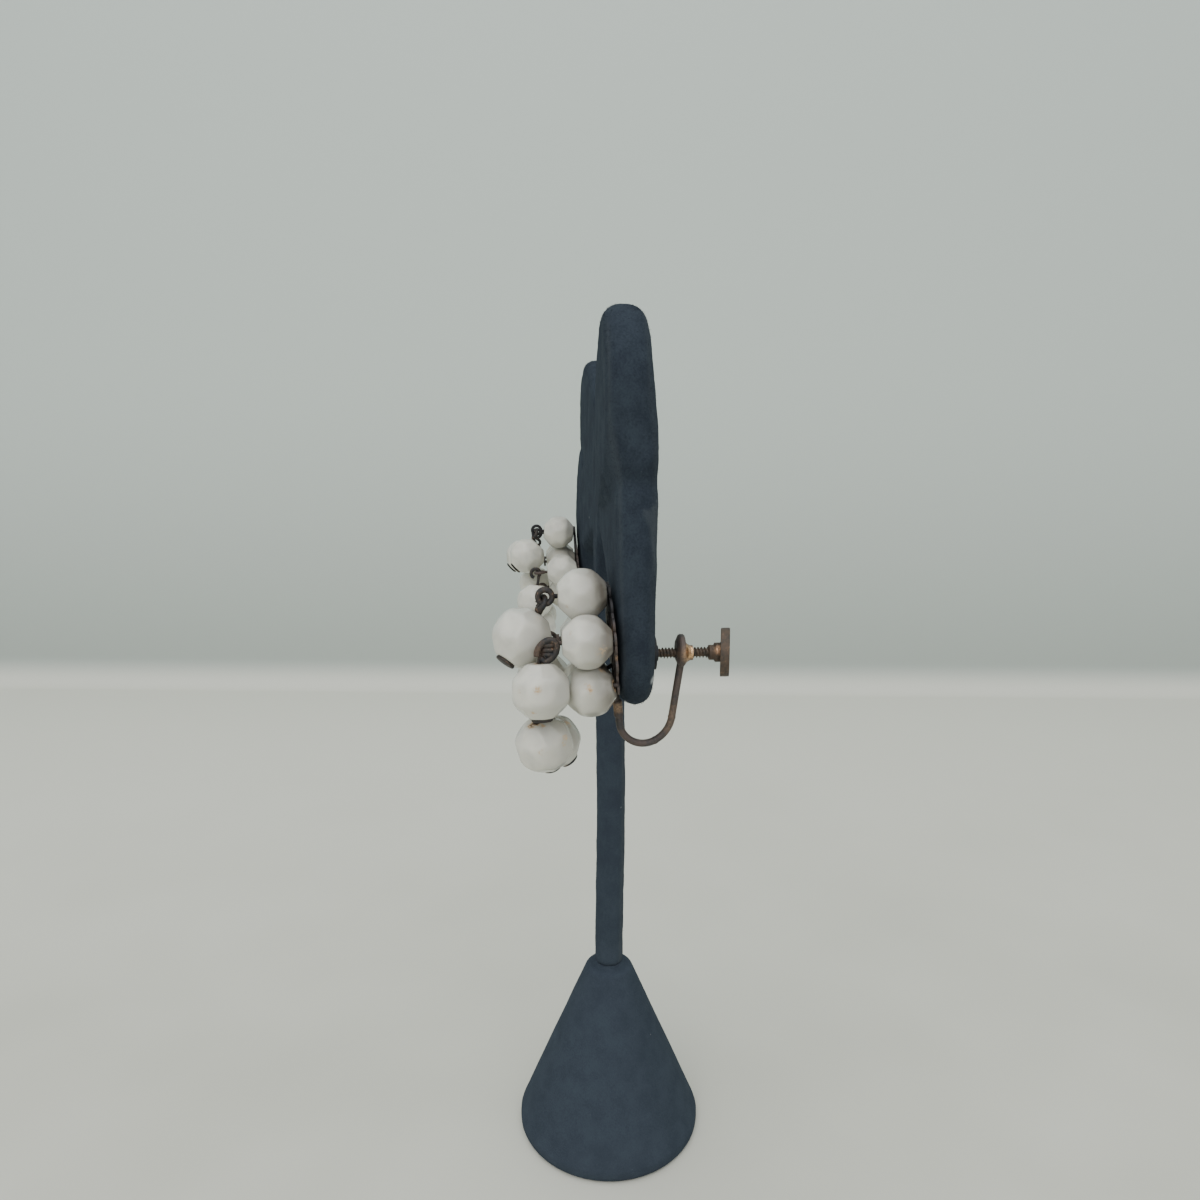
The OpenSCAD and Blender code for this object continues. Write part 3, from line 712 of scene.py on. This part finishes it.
# Half width, half length and wire of the pins' loops: the right earring's first is long and thick,
# and hangs nearer to the bead
plain_loop = (wire_loop_r, wire_loop_r, 0.35 * mm)
first_loop = (1.0 * mm, 1.45 * mm, 0.4 * mm)
first_shift = np.array([0.9, 0.75, 0]) * mm
pin_r = 0.27 * mm
head_r = 1.3 * mm
head_t = 0.4 * mm
# The share of the bead's radius at which the pin comes out of its flat end
flat_share = 0.93


def flat_part(v, normal):
    """The vector's part square to the normal, made one long."""
    return unit(v - np.dot(v, normal) * normal)


def loop_normal(way, turn):
    """A loop's axis: X, squared to the wire's way and turned about that way by degrees."""
    level = flat_part(np.array([1.0, 0, 0]), way)
    return math.cos(math.radians(turn)) * level + math.sin(math.radians(turn)) * np.cross(way, level)


def wire_along(path, radius, normal, sides=14):
    """A round wire along a path. Each section's axes are the given normal, squared to the path, and
    the direction across both."""
    step = np.gradient(path, axis=0)
    step /= np.linalg.norm(step, axis=1)[:, None]
    first = normal - step * (step @ normal)[:, None]
    first /= np.linalg.norm(first, axis=1)[:, None]
    second = np.cross(step, first)
    turn = (np.arange(sides) * 2 * math.pi / sides)[None, :, None]
    return path[:, None] + radius[:, None, None] * (
        np.cos(turn) * first[:, None] + np.sin(turn) * second[:, None])


def curve_through(knots, steps):
    """A smooth path through the knots: each stretch is the usual cubic of four knots."""
    knots = np.vstack([2 * knots[0] - knots[1], knots, 2 * knots[-1] - knots[-2]])
    t = np.linspace(0, 1, steps, endpoint=False)[:, None]
    parts = []
    for a, b, c, d in zip(knots, knots[1:], knots[2:], knots[3:]):
        parts.append(0.5 * (2 * b + (c - a) * t + (2 * a - 5 * b + 4 * c - d) * t**2
                            + (3 * b - a - 3 * c + d) * t**3))
    return np.vstack(parts + [knots[-2][None]])


def perch(earring, number):
    """The middle of a wired bead's loop of wire at the place that carries the hanging bead."""
    _, way, eye = wired(earring, number)
    turn = ring[earring][number][4]
    normal = loop_normal(way, turn)
    toward = way if turn > 45 else flat_part(hung(earring, number)[0] - eye, normal)
    return eye + wire_loop_r * toward


def pin_wire(centre, r, way, hook, turn, width, length, thick):
    """The pin's wire: from its head straight up through the bead, then round an oval loop on hook
    that stays a little open. The wire widens from the pin's radius to the loop's."""
    hang_way = unit(centre - hook)
    normal = loop_normal(hang_way, turn)
    middle = hook + hang_way * (0.12 * mm + length - wire_loop_r)
    top = centre - (r + 0.30 * mm) * way
    low = flat_part(top - middle, normal)
    across = np.cross(normal, low)
    spin = np.radians(np.linspace(38, 328, 13))[:, None]
    bend = middle + length * np.cos(spin) * low + width * np.sin(spin) * across
    start = centre + (flat_share * r + 0.06 * mm) * way
    path = curve_through(np.vstack([start, centre, top, bend]), 6)
    radius = np.interp(np.arange(len(path)), [0, 12, 20, len(path)], [pin_r, pin_r, thick, thick])
    return closed_grid("wire", wire_along(path, radius, normal), path[0], path[-1])


def pin_head(centre, r, way):
    """The pin's head: a flat disc with a round edge, turned about the pin's way."""
    edge = np.radians(np.linspace(-90, 90, 9))
    profile_r = np.r_[0.6 * head_r, head_r - 0.18 * mm * (1 - np.cos(edge)), 0.6 * head_r]
    profile_h = np.r_[-head_t / 2, head_t / 2 * np.sin(edge), head_t / 2 + 0.05 * mm]
    seat = centre + (flat_share * r + 0.05 * mm + head_t / 2) * way
    rows = lathe_grid(profile_r, profile_h, 36) @ turned_to(way).T + seat
    return closed_grid("cap", rows, seat - way * head_t / 2, seat + way * (head_t / 2 + 0.07 * mm))


for earring, side in enumerate(side_name):
    for number in range(6):
        centre, r, way = hung(earring, number)
        is_first = (earring, number) == (0, 0)
        size = first_loop if is_first else plain_loop
        hook = perch(earring, number) + is_first * first_shift
        wire = pin_wire(centre, r, way, hook, hanging[earring][number][6], *size)
        cap = pin_head(centre, r, way)
        with bpy.context.temp_override(active_object=wire, selected_editable_objects=[wire, cap]):
            bpy.ops.object.join()
        wire.name = f"pin_{side}_{number + 1}"
        place_on(wire, "stand", dark_brass)
        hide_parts(f"{side}_drop_pin_{number + 1}")

# The right earring's first two loops are wound: more turns of the same wire lie round and beside
# each. Each turn: the loop's number, and how far it lies along the loop's own axis in millimetres.
wound_r = 0.88 * mm
wound_wire = 0.34 * mm
turns = ((0, 0), (0, -0.6), (0, -1.15), (1, 0), (1, 0.55))
round_loop = np.radians(np.arange(0, 360, 7.5))[:, None, None]
round_wire = np.radians(np.arange(0, 360, 24))[None, :, None]
for order, (number, beside) in enumerate(turns):
    _, way, eye = wired(0, number)
    normal = loop_normal(way, ring[0][number][4])
    eye = eye + normal * beside * mm
    first = flat_part(way, normal)
    spoke = np.cos(round_loop) * first + np.sin(round_loop) * np.cross(normal, first)
    reach = wound_r + wound_wire * np.cos(round_wire)
    rows = eye + spoke * reach + normal * wound_wire * np.sin(round_wire)
    turn_of_wire = closed_grid(f"wound_turn_{order + 1}", rows)
    place_on(turn_of_wire, "stand", dark_brass)


# The pierced plate, the wires that are soldered to it, the ear wire bent round under the lobe and
# the flared collar on its end are one piece. It is painted golden on the collar's flare and in a few small
# spots: worn brass with a painted highlight on it. Above 103.5 mm it is painted black: painted shade.
def repaint(node_name, material):
    """Gives a solid of the frame its new material and keeps its shape."""
    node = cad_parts[node_name]
    node.data.materials.clear()
    node.data.materials.append(material)


ear_brass = aged_metal(
    "ear wire brass", (0.052, 0.049, 0.048), (0.092, 0.070, 0.061), (0.85, 0.53, 0.27), 0.66, 0.78,
    wear_and_highlight_spots=(
        ((39.1, 6.95, 99.5), 1.6, 1.0), ((38, 5.3, 90.6), 3.0, 0.10), ((38, -1.9, 92.2), 1.2, 0.35),
        ((43, -2.8, 103.0), 1.4, 0.8), ((43.4, -2.5, 100.3), 1.0, 0.8), ((-38, -3.2, 92.2), 1.2, 0.35),
        ((-37.0, 5.7, 99.5), 1.5, 1.0),
    ),
    dark_above=103.5 * mm)
for side in side_name:
    repaint(side + "_ear_wire", ear_brass)

# The screw is turned brass with a rolled thread, a stepped hub and a round thumb disc. It is
# coppery and dented where fingers turned it, and its hub is painted bright: worn copper with a painted
# highlight.
copper = aged_metal(
    "worn copper", (0.048, 0.042, 0.034), (0.095, 0.066, 0.046), (0.78, 0.46, 0.26), 0.60, 0.76,
    patch=0.9 * mm, wear_and_highlight_spots=(((39.1, 10.95, 99.8), 0.9, 0.65), ((-36.9, 9.7, 99.8), 0.9, 0.65)))
pitch = 0.42 * mm
thread_out = 0.72 * mm
thread_in = 0.50 * mm
tip_r = 0.5 * mm
# Radii of the hub's two steps and of the edges before them
hub_r = 0.98 * mm
hub_edge_r = 0.95 * mm
hub_start_r = 0.80 * mm
step_r = 1.25 * mm
step_edge_r = 1.22 * mm
disc_t = 1.2 * mm
disc_corner = 0.12 * mm
disc_bend = math.tan(math.radians(12))


def add_screw(side):
    """Rows run along the screw. In the thread the radius rises and falls as the place along the
    screw, less the turn's share of a pitch, passes each crest."""
    low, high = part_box(side + "_screw")
    x, z = (low.x + high.x) / 2, (low.z + high.z) / 2
    tip, end = low.y, high.y
    thread_from = tip + 0.48 * mm
    disc_from = end - disc_t
    hub_from = disc_from - 1.6 * mm
    step_from = disc_from - 0.9 * mm
    disc_r = (high.x - low.x) / 2
    soft = np.radians(np.linspace(0, 90, 5))
    in_corner = disc_corner * (1 - np.cos(soft))
    out_corner = disc_corner * (1 - np.sin(soft))
    # Place along the screw, radius, and 1 where it is threaded
    stations = [(tip, 0.6 * tip_r, 0), (tip, tip_r - 0.05 * mm, 0), (tip + 0.05 * mm, tip_r, 0)]
    stations += [(at, thread_in, 1) for at in np.arange(thread_from, hub_from, pitch / 14)]
    stations += [(hub_from, hub_start_r, 0), (hub_from + 0.08 * mm, hub_edge_r, 0)]
    stations += [(at, hub_r, 0) for at in np.linspace(hub_from + 0.15 * mm, step_from, 6)]
    stations += [(step_from + 0.15 * mm, step_edge_r, 0)]
    stations += [(at, step_r, 0) for at in np.linspace(step_from + 0.2 * mm, disc_from - 0.03 * mm, 5)]
    stations += [(disc_from, r, 0) for r in np.linspace(1.3 * mm, disc_r - disc_corner, 5)]
    stations += [(disc_from + a, disc_r - b, 0) for a, b in zip(in_corner, out_corner)]
    stations += [(at, disc_r, 0) for at in np.linspace(disc_from + 0.3 * mm, end - 0.3 * mm, 4)]
    stations += [(end - b, disc_r - a, 0) for a, b in zip(in_corner, out_corner)]
    stations += [(end, r, 0) for r in np.linspace(disc_r - 0.3 * mm, 0.4 * mm, 6)]
    along, radius, threaded = (column[:, None] for column in np.array(stations).T)
    turn = (np.arange(56) * 2 * math.pi / 56)[None, :]
    phase = ((along - thread_from) / pitch - turn / (2 * math.pi)) % 1
    crest = np.clip(1.35 - np.abs(phase - 0.5) * 5.2, 0, 1)
    fade = np.clip((along - thread_from) / (0.5 * mm), 0, 1)
    around = radius + threaded * fade * (thread_out - thread_in) * crest
    rows = np.stack(np.broadcast_arrays(x + around * np.sin(turn), along, z + around * np.cos(turn)), axis=2)
    # The hub and the disc's rim are dented inwards
    pushed = 0.05 * mm * waves(rows, 1.1 * mm, 31) * (along > hub_from) * (radius < 1.5 * mm)
    pushed = pushed + 0.02 * mm * waves(rows, 2.5 * mm, 32) * (along > disc_from)
    spoke = rows - np.array([x, 0, z])
    spoke[:, :, 1] = 0
    spoke /= np.maximum(np.linalg.norm(spoke, axis=2), 1e-9)[:, :, None]
    rows = rows + spoke * np.minimum(pushed, 0)[:, :, None]
    # The disc was bent a little out of square, about its height
    rows[:, :, 1] -= (rows[:, :, 0] - x) * disc_bend * (along > disc_from - 0.02 * mm)
    screw = closed_grid("screw_" + side, rows, (x, tip, z), (x, end, z))
    place_on(screw, side + "_screw", copper)
    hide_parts(side + "_screw")


for side in side_name:
    add_screw(side)

# The pad on the screw's tip is a small stamped disc with a raised boss that the tip turns in. It
# has gone nearly black.
black_brass = aged_metal("black brass", (0.016, 0.020, 0.025), (0.030, 0.030, 0.032), (0.10, 0.07, 0.05),
                         0.60, 0.75)
for side in side_name:
    repaint(side + "_pad", black_brass)
